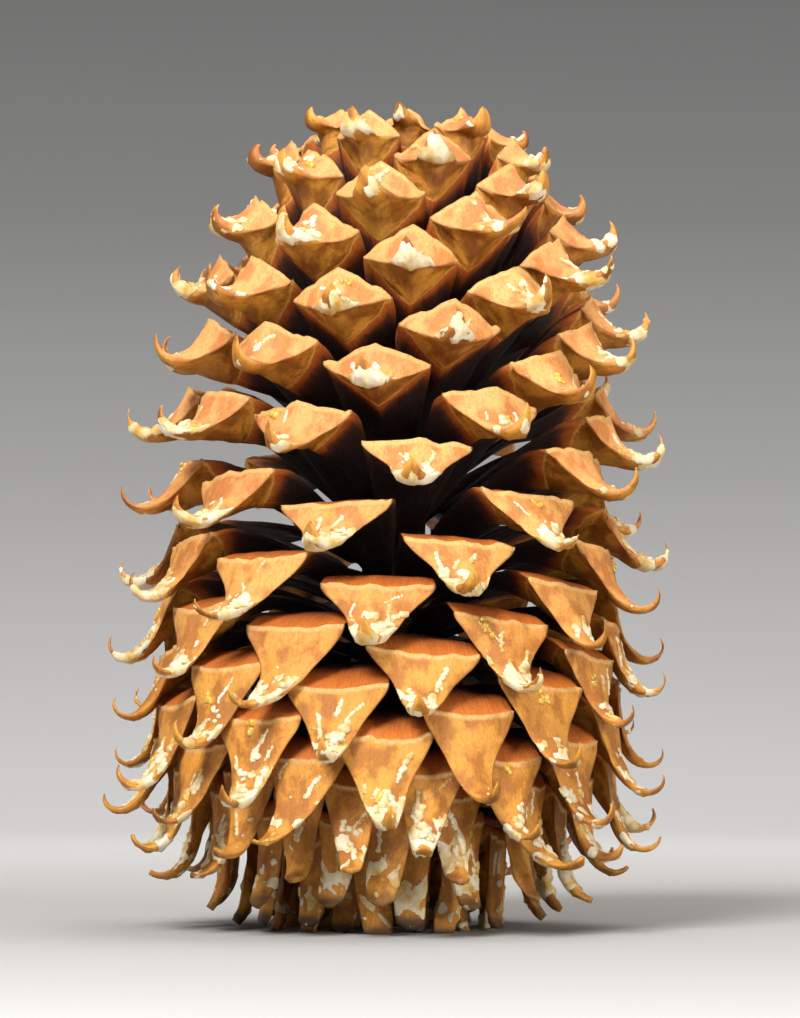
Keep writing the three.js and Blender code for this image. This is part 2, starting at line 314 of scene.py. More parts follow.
bm = bmesh.new()
ring_number = bm.verts.layers.float.new("ring")
round_number = bm.verts.layers.float.new("round")
first = bmesh.ops.create_circle(bm, cap_ends=True, radius=1, segments=AROUND)["verts"]
first.sort(key=lambda v: math.atan2(v.co.y, v.co.x) % (2 * math.pi))
for i, v in enumerate(first):
    v[round_number] = i
bm.faces.ensure_lookup_table()
cap = bm.faces[0]
for ring in range(1, RINGS):
    grown = bmesh.ops.extrude_face_region(bm, geom=[cap])
    if ring > 1:
        bmesh.ops.delete(bm, geom=[cap], context="FACES_ONLY")
    cap = [g for g in grown["geom"] if isinstance(g, bmesh.types.BMFace)][0]
    bmesh.ops.translate(bm, verts=cap.verts[:], vec=(0, 0, 1))
    for v in cap.verts:
        v[ring_number] = ring
bmesh.ops.recalc_face_normals(bm, faces=bm.faces)
bmesh.ops.reverse_faces(bm, faces=bm.faces)
for face in bm.faces:
    face.smooth = True
plain_scale = bpy.data.meshes.new("plain_scale")
bm.to_mesh(plain_scale)
print("plain scale", len(bm.verts), "points", len(bm.faces), "faces",
      "open edges", sum(1 for e in bm.edges if not e.is_manifold))
bm.free()

plain_ring = np.zeros(len(plain_scale.vertices))
plain_round = np.zeros(len(plain_scale.vertices))
plain_scale.attributes["ring"].data.foreach_get("value", plain_ring)
plain_scale.attributes["round"].data.foreach_get("value", plain_round)
plain_ring = np.rint(plain_ring).astype(int)
plain_round = np.rint(plain_round).astype(int)

# %% [markdown]
# ## Across a scale
#
# The ring's points are shared out between the upper side, from the left edge to the right
# one, and the lower side, from the right edge back to the left.  `ACROSS` runs from -1 at the
# left edge to 1 at the right edge.

# %% Places across
upper = np.sin(np.linspace(-1, 1, TOP_POINTS) * math.pi / 2 * 0.82) / math.sin(math.pi / 2 * 0.82)
lower = np.linspace(1, -1, BOTTOM_POINTS + 2)[1:-1]
ACROSS = np.concatenate([upper, lower])
UNDER = np.concatenate([np.zeros(TOP_POINTS), np.ones(BOTTOM_POINTS)])
print("across", np.round(ACROSS[:6], 2), "...")

# %% [markdown]
# ## Along a scale
#
# A scale's upper side follows one curve in the plane through the axis: an arched blade, a
# sharp bend at the ridge, and then the shield and the claw, whose slope turns more and more
# quickly towards the tip.  The same formulas made the solids.

# %% Curves along
FOOT_REACH = 15.5
RIB_REACH = 12
BLADE_THICKNESS = 2.6
FOOT_HALF_WIDTH = 4


def direction(angle):
    return np.stack([np.cos(angle), np.sin(angle)], axis=-1)


def up_from(angle):
    return np.stack([-np.sin(angle), np.cos(angle)], axis=-1)


def mix(a, b, t):
    return a + (b - a) * t


def ease(low, high, x):
    t = np.clip((x - low) / (high - low), 0, 1)
    return t * t * (3 - 2 * t)


def blade_curve(shape, t):
    """Points and slopes of the blade, from its foot at 0 to the ridge at 1."""
    foot = np.array([FOOT_REACH, shape["foot_height"]])
    ridge = np.array([shape["shoulder_reach"], shape["shoulder_height"]])
    pull = np.linalg.norm(ridge - foot) / 3
    a = foot + direction(shape["foot_angle"]) * pull
    b = ridge - direction(shape["shoulder_angle"]) * pull
    t = np.asarray(t)[:, None]
    point = (1 - t)**3 * foot + 3 * (1 - t)**2 * t * a + 3 * (1 - t) * t**2 * b + t**3 * ridge
    slope = 3 * (1 - t)**2 * (a - foot) + 6 * (1 - t) * t * (b - a) + 3 * t**2 * (ridge - b)
    return point, np.arctan2(slope[:, 1], slope[:, 0])


def claw_curve(shape, t):
    """Points and slopes of the shield and claw, from the ridge at 0 to the tip at 1."""
    fine = np.linspace(0, 1, 121)
    middle = (fine[1:] + fine[:-1]) / 2
    turn = shape["tip_angle"] - shape["shield_angle"]
    steps = direction(shape["shield_angle"] + turn * middle ** shape["claw_bend"])
    path = np.vstack([[0, 0], np.cumsum(steps, axis=0)]) * shape["claw_length"] / 120
    path += [shape["shoulder_reach"], shape["shoulder_height"]]
    point = np.stack([np.interp(t, fine, path[:, i]) for i in range(2)], axis=-1)
    return point, shape["shield_angle"] + turn * np.asarray(t) ** shape["claw_bend"]


point, slope = claw_curve(scale_shape(84), np.array([0.0, 0.5, 1.0]))
print("claw of scale 84", np.round(point, 1).tolist())

# %% [markdown]
# ## No two scales alike
#
# Real scales differ a little in width, slope and in how their claws hook, and a few stand
# out: claws that curl to one side, and blunt ends under a lump of resin.  A seeded random
# generator gives the small differences, and a short list of given traits the large ones.

# %% Small differences and standing traits
TRAITS = {
    89: {"sway": -11, "lift": -55}, 102: {"sway": -9, "lift": -25}, 55: {"sway": -9, "lift": -30},
    45: {"sway": 12, "lift": 30}, 113: {"sway": 2, "lift": -60}, 160: {"sway": 9, "lift": -30},
    110: {"short": 0.75, "resin": 1.0}, 97: {"short": 0.8, "resin": 1.0},
    105: {"short": 0.78, "resin": 0.8}, 118: {"short": 0.7, "resin": 0.9},
    131: {"short": 0.7, "resin": 1.0}, 144: {"short": 0.7, "resin": 0.9},
    152: {"short": 0.75, "resin": 1.0}, 139: {"short": 0.85, "resin": 0.8},
    165: {"short": 0.85, "resin": 0.5}, 178: {"short": 0.8, "resin": 1.0},
    173: {"short": 0.8, "resin": 1.0}, 84: {"short": 0.85, "resin": 0.8}, 76: {"resin": 0.8},
}


def grown_shape(scale):
    """The numbers of one scale with its own small differences."""
    shape = scale_shape(scale)
    chance = np.random.default_rng(1000 + scale)
    jitter = dict(zip(("width", "length", "slope", "sway", "lift", "twist", "resin", "shade"),
                      chance.uniform(-1, 1, 8)))
    own = TRAITS.get(scale, {})
    shape["width"] *= 1 + 0.05 * jitter["width"]
    crown = ease(150, 182, scale)
    shape["claw_length"] *= (1 + 0.09 * jitter["length"]) * own.get("short", 1 - 0.3 * crown)
    shape["stout"] = 1.6 * (1 - own.get("short", 1.0)) + 0.1 * (1 + jitter["length"]) + 0.9 * crown
    shape["shield_angle"] += math.radians(3) * jitter["slope"]
    shape["tip_angle"] += math.radians(22 * jitter["lift"] + own.get("lift", 0))
    shape["sway"] = own.get("sway", 3.2 * jitter["sway"])
    shape["twist"] = math.radians(2.5) * jitter["twist"]
    shape["resin"] = own.get("resin", 0.62 + 0.36 * jitter["resin"])
    shape["shade"] = 0.5 + 0.5 * jitter["shade"]
    shape["chance"] = chance
    return shape


def ripple(chance, x, y, size):
    """A smooth random surface of about -1 to 1 with bumps of a given size."""
    total = np.zeros(np.broadcast(x, y).shape)
    for _ in range(7):
        a, phase = chance.uniform(0, 2 * math.pi, 2)
        rate = 2 * math.pi / (size * chance.uniform(0.7, 1.8))
        total = total + np.sin(rate * (x * math.cos(a) + y * math.sin(a)) + phase)
    return total / 3.5


# %% [markdown]
# ## The body of one scale
#
# Along the middle, an upper line and a keel line below it give the profile.  The keel grows
# from the thin blade, is deepest under the ridge and thins out into the claw.  Across, the
# blade is a flat plate, the part under the ridge is a V with two flat facets, and the claw
# is round.  The ridge stands a little proud and its ends lie further back than its middle.

# %% Bend the tube into a scale
BLADE_AT = np.array([
    0, 0, 0.1, 0.2, 0.32, 0.44, 0.55, 0.65, 0.74, 0.81, 0.87, 0.92, 0.96, 0.985, 1,
])
SHIELD_AT = np.concatenate([[0.014], np.linspace(0.045, 1, SHIELD_RINGS - 1)])
RIDGE_RING = BLADE_RINGS - 1
RIDGE_PROUD = 0.45
RIDGE_SETBACK = 3
CLAW_ROOT = 0.36
RISE_ALONG = ([-0.55, -0.2, 0, CLAW_ROOT, 0.65], [0, 0.4, 1, 0.3, 0])
# Width of the shield and claw: where along, and what part of the ridge's width.
SHIELD_OUTLINE = (
    [0, 0.06, 0.12, 0.2, 0.28, 0.36, 0.45, 0.55, 0.65, 0.75, 0.85, 0.95, 1],
    [1, 0.98, 0.9, 0.77, 0.64, 0.53, 0.43, 0.33, 0.22, 0.13, 0.08, 0.035, 0.01],
)


def scale_profile(shape):
    """Upper line, keel line, half width and distance from the ridge, for every ring."""
    half = shape["width"] / 2
    blunt = max(shape["bluntness"], 0)
    blade, blade_slope = blade_curve(shape, BLADE_AT)
    claw, claw_slope = claw_curve(shape, SHIELD_AT)
    length = np.sum(np.linalg.norm(np.diff(blade, axis=0), axis=1))
    keel_at = 1 - shape["keel_setback"] / length

    grown = ease(0.38, keel_at, BLADE_AT)
    thick = mix(BLADE_THICKNESS, shape["keel_depth"] + BLADE_THICKNESS / 2, grown)
    thinning = (1 - ease(0.8, 1, BLADE_AT))[:, None]
    upper = blade + up_from(blade_slope) * BLADE_THICKNESS / 2 * thinning
    upper[0] = [RIB_REACH, shape["foot_height"] + BLADE_THICKNESS / 2]
    keel = upper - up_from(blade_slope) * thick[:, None]
    sharp_thick = 0.55 * (1 - SHIELD_AT) ** 1.6 + 0.45 * (1 - SHIELD_AT) ** 0.9
    claw_thick = shape["keel_depth"] * mix(sharp_thick, 1 - 0.45 * SHIELD_AT, blunt) + 0.3
    claw_thick *= 1 + shape["stout"] * ease(0.4, 0.8, SHIELD_AT)
    claw_keel = claw - up_from(claw_slope) * claw_thick[:, None]

    upper = np.vstack([upper, claw])
    keel = np.vstack([keel, claw_keel])
    place = np.concatenate([BLADE_AT - 1, SHIELD_AT])
    bend = (place > keel_at - 1) & (place < CLAW_ROOT)
    ends = np.flatnonzero(~bend)
    steps = np.arange(RINGS)
    for i in range(2):
        keel[:, i] = np.interp(steps, ends, keel[ends, i])

    wide = mix(FOOT_HALF_WIDTH, half, 1 - (1 - BLADE_AT) ** 1.3)
    wide[0] = 1.5
    sharp = np.interp(SHIELD_AT, *SHIELD_OUTLINE)
    narrow = half * mix(sharp, 1 - 0.42 * SHIELD_AT, blunt) + 0.12
    narrow *= 1 + shape["stout"] * ease(0.35, 0.8, SHIELD_AT)
    narrow *= 1 - 0.7 * ease(0.93, 1, SHIELD_AT)
    half_width = np.concatenate([wide, narrow])

    far = np.concatenate([[0], np.cumsum(np.linalg.norm(np.diff(upper, axis=0), axis=1))])
    return upper, keel, half_width, far - far[RIDGE_RING], place


def bend_scale(scale):
    """Places of all the tube's points in metres, with the values that colour them."""
    shape = grown_shape(scale)
    chance = shape["chance"]
    upper, keel, half_width, along, place = scale_profile(shape)
    depth = keel - upper
    down = depth / np.linalg.norm(depth, axis=1)[:, None]
    v = ACROSS[None, :]
    under = UNDER[None, :]

    plate = 1 - v**4
    facets = (1 - np.abs(v)) ** 1.08
    keeled = (ease(-0.75, -0.3, place) * 1.0)[:, None]
    below = mix(plate, facets, keeled)
    bow = np.sqrt(np.clip(1 - v**2, 0, 1))
    roundness = ease(0.3, 0.75, place)[:, None]
    drop = mix(under * below, 0.5 - 0.5 * bow + under * bow, roundness)

    arch = 1.3 * (1 - ease(-0.3, 0, place))
    arch = arch + 0.6 * ease(0.02, 0.3, place) * (1 - ease(0.4, 0.6, place))
    back = direction(shape["shoulder_angle"])
    setback = RIDGE_SETBACK * ease(-0.45, 0, place) * (1 - ease(0, 0.8, place))
    crest = np.where(np.arange(RINGS) == RIDGE_RING, RIDGE_PROUD, 0.0)
    crest_way = up_from((shape["shoulder_angle"] + shape["shield_angle"]) / 2)

    side = half_width[:, None] * v
    away = along[:, None] + 0 * v
    knobbly = ripple(chance, side, away, 9.0)
    nicks = ripple(chance, side, 0 * away, 9.0) + 0.5 * ripple(chance, side, 0 * away, 3.5)
    at_ridge = np.exp(-((place / 0.14) ** 2))[:, None]
    crust = ripple(chance, side, away, 4.6)
    fine = ripple(chance, side, away, 2.2)
    on_shield = ease(0.0, 0.12, place)[:, None]
    umbo = np.exp(-((place[:, None] - 0.5) / 0.16) ** 2 - (side / 3.2) ** 2)
    amount = shape["resin"]
    spread = np.exp(-((place[:, None] - 0.66) / 0.27) ** 2)
    resin = ease(0.0, 0.6, 0.55 * crust + 0.2 * fine + 1.6 * amount * spread - 0.72) * on_shield
    resin = resin * (1 - under * ease(0.75, 0.4, place)[:, None])
    relief = 0.22 * knobbly * (0.3 + 0.7 * on_shield) + 0.7 * umbo * (1 - under)
    relief = relief + resin * (0.55 + 0.35 * fine) * (1 - 0.5 * ease(0.75, 1, place)[:, None])
    relief = relief * (1 - 0.9 * ease(0.9, 1, place)[:, None])
    outward = np.where(under > 0.5, 1.0, -1.0) * relief

    rise = shape["ridge_rise"] * np.interp(place, *RISE_ALONG)
    roof = rise[:, None] * (1 - np.abs(v)) * (1 - under)
    thickness = np.linalg.norm(depth, axis=1)[:, None]
    amount_down = drop * thickness + arch[:, None] * v**2 + outward - roof + 0.7 * nicks * at_ridge
    flat = upper[:, None, :] + down[:, None, :] * amount_down[:, :, None]
    flat = flat - back * (setback[:, None] * np.abs(v) ** 1.6)[:, :, None]
    flat = flat + crest_way * (crest[:, None] * (1 - under))[:, :, None]
    flat = flat - back * (np.abs(nicks) * at_ridge)[:, :, None]
    sway = shape["sway"] * ease(0.15, 1, place)[:, None] ** 1.6
    reach, height = flat[:, :, 0], flat[:, :, 1] + side * math.tan(shape["twist"])
    side = side + sway

    a = shape["azimuth"]
    upright = np.stack([reach * math.sin(a) + side * math.cos(a),
                        -reach * math.cos(a) + side * math.sin(a), height], axis=-1)
    matrix = np.array(PLACE)
    points = upright @ matrix[:3, :3].T + matrix[:3, 3]

    vee = 14 * (1 - np.abs(v)) * under * min(1.0, shape["keel_setback"] / 12)
    blunt = max(shape["bluntness"] - 0.3, 0)
    values = {
        "zone": away + vee,
        "across": v + 0 * away,
        "under": under + 0 * away,
        "resin": resin,
        "shade": shape["shade"] + 0 * away,
        "age": scale / LAST_SCALE + 0 * away,
        "broken": blunt / 0.6 * ease(0.8, 0.93, place)[:, None] + 0 * away,
        "grain": np.stack([side, away, 13.7 * scale + 0 * away], axis=-1),
    }
    return points, values


points, values = bend_scale(84)
print("scale 84 spans", np.round(np.ptp(points.reshape(-1, 3), axis=0) / MM, 1).tolist(), "mm")

# %% [markdown]
# ## Colours over the wood
#
# A scale is dark purple-brown where it was shut away, and nearly black deep towards the axis
# and on the lower side behind the teeth: partly that dark wood, partly painted shade of the
# gaps between the scales.  It has an orange-brown band just behind the ridge, a pale ridge
# line, and a tan-pink or golden shield, and a painted highlight runs along the toothed edge
# below.  `zone` tells how far a point is from the ridge in millimetres, so one colour ramp
# can lay out all the bands; on the lower side the bands follow the V of the keel.  Two node
# groups carry what the materials share: fibres that run along the wood, and crusted resin.

# %% Helpers for nodes
def tone(red, green, blue):
    """A colour from the 0 to 255 values of a paint chart."""
    linear = [((c / 255 + 0.055) / 1.055) ** 2.4 if c > 10 else c / 255 / 12.92
              for c in (red, green, blue)]
    return (*linear, 1.0)


def add_node(tree, kind, inputs=None, **settings):
    """Adds a node; inputs are numbers, colours or the outputs of other nodes."""
    node = tree.nodes.new(kind)
    for name, value in settings.items():
        setattr(node, name, value)
    for name, value in (inputs or {}).items():
        if isinstance(value, bpy.types.NodeSocket):
            tree.links.new(value, node.inputs[name])
        else:
            node.inputs[name].default_value = value
    return node


def maths(tree, operation, a, b=0.0, clamp=False):
    node = add_node(tree, "ShaderNodeMath", {0: a, 1: b}, operation=operation, use_clamp=clamp)
    return node.outputs["Value"]


def step_between(tree, value, low, high, out_low=0.0, out_high=1.0):
    node = add_node(tree, "ShaderNodeMapRange", {
        "Value": value, "From Min": low, "From Max": high, "To Min": out_low, "To Max": out_high,
    }, interpolation_type="SMOOTHSTEP")
    return node.outputs["Result"]


def blend(tree, amount, a, b, mode="MIX"):
    node = tree.nodes.new("ShaderNodeMix")
    node.data_type = "RGBA"
    node.blend_type = mode
    for index, value in ((0, amount), (6, a), (7, b)):
        if isinstance(value, bpy.types.NodeSocket):
            tree.links.new(value, node.inputs[index])
        else:
            node.inputs[index].default_value = value
    return node.outputs[2]


def ramp(tree, value, stops):
    node = add_node(tree, "ShaderNodeValToRGB", {"Fac": value})
    band = node.color_ramp
    while len(band.elements) < len(stops):
        band.elements.new(0.5)
    for element, (at, colour) in zip(band.elements, stops):
        element.position = at
        element.color = colour
    return node.outputs["Color"]


def noise(tree, vector, scale, detail=3.0, roughness=0.55):
    node = add_node(tree, "ShaderNodeTexNoise", {
        "Vector": vector, "Scale": scale, "Detail": detail, "Roughness": roughness,
    })
    return node.outputs["Fac"]


def stretched(tree, vector, amounts):
    node = add_node(tree, "ShaderNodeVectorMath", {0: vector, 1: amounts}, operation="MULTIPLY")
    return node.outputs["Vector"]


def attribute(tree, name, output="Fac"):
    return add_node(tree, "ShaderNodeAttribute", attribute_name=name).outputs[output]


def group(name, inputs, outputs):
    """A node group with its sockets and its two end nodes."""
    tree = bpy.data.node_groups.new(name, "ShaderNodeTree")
    for label, kind, value in inputs:
        socket = tree.interface.new_socket(label, in_out="INPUT", socket_type=kind)
        if value is not None:
            socket.default_value = value
    for label, kind in outputs:
        tree.interface.new_socket(label, in_out="OUTPUT", socket_type=kind)
    return tree, tree.nodes.new("NodeGroupInput"), tree.nodes.new("NodeGroupOutput")


print("node helpers ready")

# %% Fibres along the wood
fibres, into, out = group(
    "wood_fibres",
    [("Grain", "NodeSocketVector", None), ("Spacing", "NodeSocketFloat", 1.0)],
    [("Fibres", "NodeSocketFloat"), ("Blotches", "NodeSocketFloat"), ("Pores", "NodeSocketFloat")],
)
thin = stretched(fibres, into.outputs["Grain"], (1.5, 0.09, 1.0))
fine = noise(fibres, thin, into.outputs["Spacing"], 4.0, 0.6)
fibres.links.new(step_between(fibres, fine, 0.34, 0.66), out.inputs["Fibres"])
wide_grain = stretched(fibres, into.outputs["Grain"], (0.16, 0.12, 1.0))
fibres.links.new(
    step_between(fibres, noise(fibres, wide_grain, 1.0, 3.0), 0.36, 0.66), out.inputs["Blotches"],
)
specks = noise(fibres, stretched(fibres, into.outputs["Grain"], (1.9, 1.2, 1.0)), 1.0, 2.0, 0.5)
fibres.links.new(step_between(fibres, specks, 0.6, 0.72), out.inputs["Pores"])
print("group", fibres.name, "nodes", len(fibres.nodes))

# %% Crusted resin
crust_group, into, out = group(
    "crusted_resin",
    [("Grain", "NodeSocketVector", None), ("Weight", "NodeSocketFloat", 0.0)],
    [("Mask", "NodeSocketFloat"), ("Color", "NodeSocketColor"), ("Height", "NodeSocketFloat")],
)
lumps = noise(crust_group, into.outputs["Grain"], 0.55, 4.0, 0.6)
ragged = maths(crust_group, "ADD", into.outputs["Weight"],
               maths(crust_group, "MULTIPLY", maths(crust_group, "SUBTRACT", lumps, 0.5), 1.1))
crust_group.links.new(step_between(crust_group, ragged, 0.34, 0.46), out.inputs["Mask"])
yellowing = noise(crust_group, into.outputs["Grain"], 0.21, 2.0)
crust_colour = ramp(crust_group, yellowing, [
    (0.3, tone(232, 224, 202)), (0.48, tone(224, 208, 170)), (0.6, tone(210, 178, 110)),
    (0.72, tone(196, 150, 62)),
])
crust_group.links.new(crust_colour, out.inputs["Color"])
grit = noise(crust_group, into.outputs["Grain"], 1.6, 4.0, 0.65)
crust_group.links.new(grit, out.inputs["Height"])
print("group", crust_group.name, "nodes", len(crust_group.nodes))

# %% Scale wood
scale_wood = bpy.data.materials.new("scale_wood_finish")
scale_wood.use_nodes = True
tree = scale_wood.node_tree
surface = tree.nodes["Principled BSDF"]

grain = attribute(tree, "grain", "Vector")
zone, across = attribute(tree, "zone"), attribute(tree, "across")
under, age = attribute(tree, "under"), attribute(tree, "age")
shade, broken = attribute(tree, "shade"), attribute(tree, "broken")
wood = add_node(tree, "ShaderNodeGroup", node_tree=fibres)
tree.links.new(grain, wood.inputs["Grain"])
resin = add_node(tree, "ShaderNodeGroup", node_tree=crust_group)
tree.links.new(grain, resin.inputs["Grain"])
tree.links.new(attribute(tree, "resin"), resin.inputs["Weight"])

teeth = noise(tree, stretched(tree, grain, (1.4, 0.25, 1.0)), 1.0, 3.0, 0.7)
waves = noise(tree, stretched(tree, grain, (0.3, 0.1, 1.0)), 1.0, 1.0)
jagged = maths(tree, "ADD", maths(tree, "MULTIPLY", maths(tree, "SUBTRACT", teeth, 0.5), 3.4),
               maths(tree, "MULTIPLY", maths(tree, "SUBTRACT", waves, 0.5), 3.0))
toothed = maths(tree, "ADD", zone, maths(tree, "MULTIPLY", jagged, under))
behind = step_between(tree, zone, -1.5, -12.0)
uneven = maths(tree, "MULTIPLY", maths(tree, "SUBTRACT", waves, 0.5), 4.0)
uneven = maths(tree, "MULTIPLY", uneven, behind)
laid_out = maths(tree, "ADD", toothed, uneven)
# On the lower side behind the teeth the colours run on into the dark stops sooner: partly
# shut-away wood, partly painted shade under the scales.
hidden_and_shaded_under = maths(tree, "MULTIPLY", under, maths(tree, "MINIMUM", toothed, 0.0))
laid_out = maths(tree, "ADD", laid_out, maths(tree, "MULTIPLY", hidden_and_shaded_under, 0.9))
BAND_START, BAND_END = -40.0, 20.0


def band(millimetres):
    return (millimetres - BAND_START) / (BAND_END - BAND_START)


position = add_node(tree, "ShaderNodeMapRange", {
    "Value": laid_out, "From Min": BAND_START, "From Max": BAND_END, "To Min": 0.0, "To Max": 1.0,
}).outputs["Result"]
# The deepest stops, nearly black, are partly the dark wood and partly painted shade of the gaps.
bands = ramp(tree, position, [
    (band(-38), tone(30, 17, 14)), (band(-20), tone(48, 25, 18)),
    (band(-14), tone(98, 50, 22)), (band(-9), tone(168, 90, 30)),
    (band(-1.3), tone(206, 120, 44)), (band(-0.6), tone(204, 142, 70)),
    (band(0.5), tone(230, 188, 118)), (band(1.5), tone(212, 148, 76)),
    (band(9), tone(216, 150, 78)), (band(19), tone(206, 144, 70)),
])
golden = ramp(tree, wood.outputs["Blotches"], [
    (0.1, tone(160, 100, 24)), (0.45, tone(196, 134, 38)), (0.85, tone(222, 162, 60)),
])
pink = ramp(tree, wood.outputs["Blotches"], [
    (0.1, tone(208, 134, 74)), (0.5, tone(232, 170, 108)), (0.85, tone(240, 186, 116)),
])
outer = step_between(tree, toothed, 0.4, 1.8)
under_edge = maths(tree, "MULTIPLY", under, step_between(tree, toothed, -0.9, -0.1))
bands = blend(tree, under_edge, bands, golden)
shield_upper = blend(tree, step_between(tree, age, 0.38, 0.7), golden, pink)
off_middle = maths(tree, "ABSOLUTE", across)
# The lower side turns darker olive-brown towards its middle line, further past the toothed edge.
underside_middle_darkening = maths(tree, "MULTIPLY", step_between(tree, off_middle, 0.75, 0.05),
               step_between(tree, zone, 7.0, 15.0, 0.0, 0.5))
darkened_golden = blend(tree, underside_middle_darkening, golden, tone(92, 54, 16))
shield_colour = blend(tree, under, shield_upper, darkened_golden)
colour = blend(tree, maths(tree, "MULTIPLY", outer, 0.72), bands, shield_colour)
darker = blend(tree, 0.62, colour, colour, "MULTIPLY")
on_blade = step_between(tree, toothed, 1.0, -3.0, 0.16, 0.38)
colour = blend(tree, maths(tree, "MULTIPLY", wood.outputs["Fibres"], on_blade), colour, darker)
pores = maths(tree, "MULTIPLY", wood.outputs["Pores"], 0.35)
colour = blend(tree, pores, colour, tone(120, 72, 34))
flecks = noise(tree, stretched(tree, grain, (1.1, 0.8, 1.0)), 1.3, 5.0, 0.75)
flecked = step_between(tree, flecks, 0.4, 0.68, 0.0, 0.5)
colour = blend(tree, flecked, colour, blend(tree, 0.8, colour, tone(190, 140, 92), "MULTIPLY"))
colour = blend(tree, maths(tree, "MULTIPLY", shade, 0.28), colour,
               blend(tree, 1.0, colour, tone(214, 170, 130), "MULTIPLY"))
rim = step_between(tree, off_middle, 0.9, 1.0)
rim_only = maths(tree, "MULTIPLY", rim, outer)
# Painted highlight: a slim pale line along the toothed edge on the lower side.
painted_tooth_highlight = maths(tree, "MULTIPLY", step_between(tree, toothed, -0.7, -0.1),
                   step_between(tree, toothed, 1.3, 0.5))
painted_tooth_highlight = maths(tree, "MULTIPLY", maths(tree, "MULTIPLY", painted_tooth_highlight, under), 0.7)
colour = blend(tree, painted_tooth_highlight, colour, tone(226, 170, 84))
colour = blend(tree, maths(tree, "MULTIPLY", rim_only, 0.45), colour, tone(134, 86, 38))
colour = blend(tree, broken, colour, tone(66, 48, 32))
crusted = maths(tree, "MULTIPLY", resin.outputs["Mask"], step_between(tree, toothed, -0.5, 0.5))
colour = blend(tree, crusted, colour, resin.outputs["Color"])
tree.links.new(colour, surface.inputs["Base Color"])

dull = step_between(tree, wood.outputs["Fibres"], 0.0, 1.0, 0.5, 0.66)
rough = add_node(tree, "ShaderNodeMix", {0: crusted, 2: dull, 3: 0.42})
tree.links.new(rough.outputs[0], surface.inputs["Roughness"])
surface.inputs["Specular IOR Level"].default_value = 0.42
crust_grit = maths(tree, "MULTIPLY", resin.outputs["Height"], crusted)
height = maths(tree, "ADD", maths(tree, "MULTIPLY", wood.outputs["Fibres"], on_blade),
               maths(tree, "MULTIPLY", crust_grit, 1.6))
height = maths(tree, "ADD", height, maths(tree, "MULTIPLY", crusted, 0.9))
height = maths(tree, "ADD", height, maths(tree, "MULTIPLY", flecks, 1.1))
height = maths(tree, "ADD", height, maths(tree, "MULTIPLY", broken, teeth))
bump = add_node(tree, "ShaderNodeBump", {"Height": height, "Strength": 0.7, "Distance": 0.0004})
tree.links.new(bump.outputs["Normal"], surface.inputs["Normal"])
print("scale wood nodes", len(tree.nodes))

# %% [markdown]
# ## The thirteen rows
#
# Fifteen copies of the plain tube go into one mesh, and then all their points move to their
# places at once.  The colour values are stored on the points, so the pattern follows every
# bend and stays with the piece.

# %% Build the rows
def store(mesh, name, values):
    """Stores one value, or three, on every point of a mesh."""
    if values.ndim == 2:
        made = mesh.attributes.new(name, "FLOAT_VECTOR", "POINT")
        made.data.foreach_set("vector", values.astype(np.float32).ravel())
    else:
        made = mesh.attributes.new(name, "FLOAT", "POINT")
        made.data.foreach_set("value", values.astype(np.float32).ravel())


def build_row(row):
    bm = bmesh.new()
    for _ in range(SCALES_PER_ROW):
        bm.from_mesh(plain_scale)
    mesh = bpy.data.meshes.new(f"row_{row + 1:02d}_scales")
    bm.to_mesh(mesh)
    bm.free()
    bent = [bend_scale(row + n * ROWS) for n in range(SCALES_PER_ROW)]
    coords = np.concatenate([points[plain_ring, plain_round] for points, _ in bent])
    coords[:, 2] = np.maximum(coords[:, 2], 0.0)
    mesh.vertices.foreach_set("co", coords.astype(np.float32).ravel())
    for name in ("ring", "round"):
        mesh.attributes.remove(mesh.attributes[name])
    for name in bent[0][1]:
        store(mesh, name, np.concatenate([v[name][plain_ring, plain_round] for _, v in bent]))
    mesh.materials.append(scale_wood)
    mesh.update()
    piece = bpy.data.objects.new(mesh.name, mesh)
    bpy.context.collection.objects.link(piece)
    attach(piece, "root")
    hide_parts(f"scale_row_{row + 1:02d}")
    return piece


rows = [build_row(row) for row in range(ROWS)]
print("rows", len(rows), "faces each", len(rows[0].data.polygons))

# %% [markdown]
# ## Dried resin
#
# Resin ran out of the scales and dried in three ways: crusts heaped round the claws, drips
# that ran down the shields, and a few clear yellow beads.  Each is built of small overlapping
# drops, because lumps of many sizes are what dried resin is.  The drops are set on points
# of the bent scales, so they lie on the wood whatever its shape.  They follow one another
# in short wandering runs, so a crust has ragged arms and a drip is one line.

# %% Drops on a shield
def shield_spot(points, ring, v):
    """A point of a scale's upper side and the way out of the wood there."""
    def at(r, w):
        low = int(r)
        near, far = points[low, :TOP_POINTS], points[min(low + 1, RINGS - 1), :TOP_POINTS]
        line = near + (far - near) * (r - low)
        return Vector([np.interp(w, upper, line[:, i]) for i in range(3)])

    spot = at(ring, v)
    along_it = at(min(ring + 1, RINGS - 1.001), v) - at(ring - 1, v)
    across_it = at(ring, min(v + 0.15, 1)) - at(ring, max(v - 0.15, -1))
    return spot, across_it.cross(along_it).normalized() * -1


ball = bmesh.new()
bmesh.ops.create_icosphere(ball, subdivisions=2, radius=1.0)
ball.verts.index_update()
BALL_POINTS = np.array([v.co[:] for v in ball.verts])
BALL_FACES = np.array([[v.index for v in face.verts] for face in ball.faces])
ball.free()


def drop(spot, out, radius, flatness, luck):
    """The points of one drop: a ball pressed onto the wood, a little out of round."""
    z = np.array(out)
    x = np.cross([0, 0, 1], z)
    x /= np.linalg.norm(x)
    lumpy = 1 + 0.2 * np.sin(BALL_POINTS @ luck.normal(0, 2.4, 3) + luck.uniform(0, 6))
    sizes = np.array([radius * luck.uniform(0.8, 1.2), radius, radius * flatness]) * MM
    lump = BALL_POINTS * lumpy[:, None] * sizes
    return np.array(spot) + lump @ np.stack([x, np.cross(z, x), z])


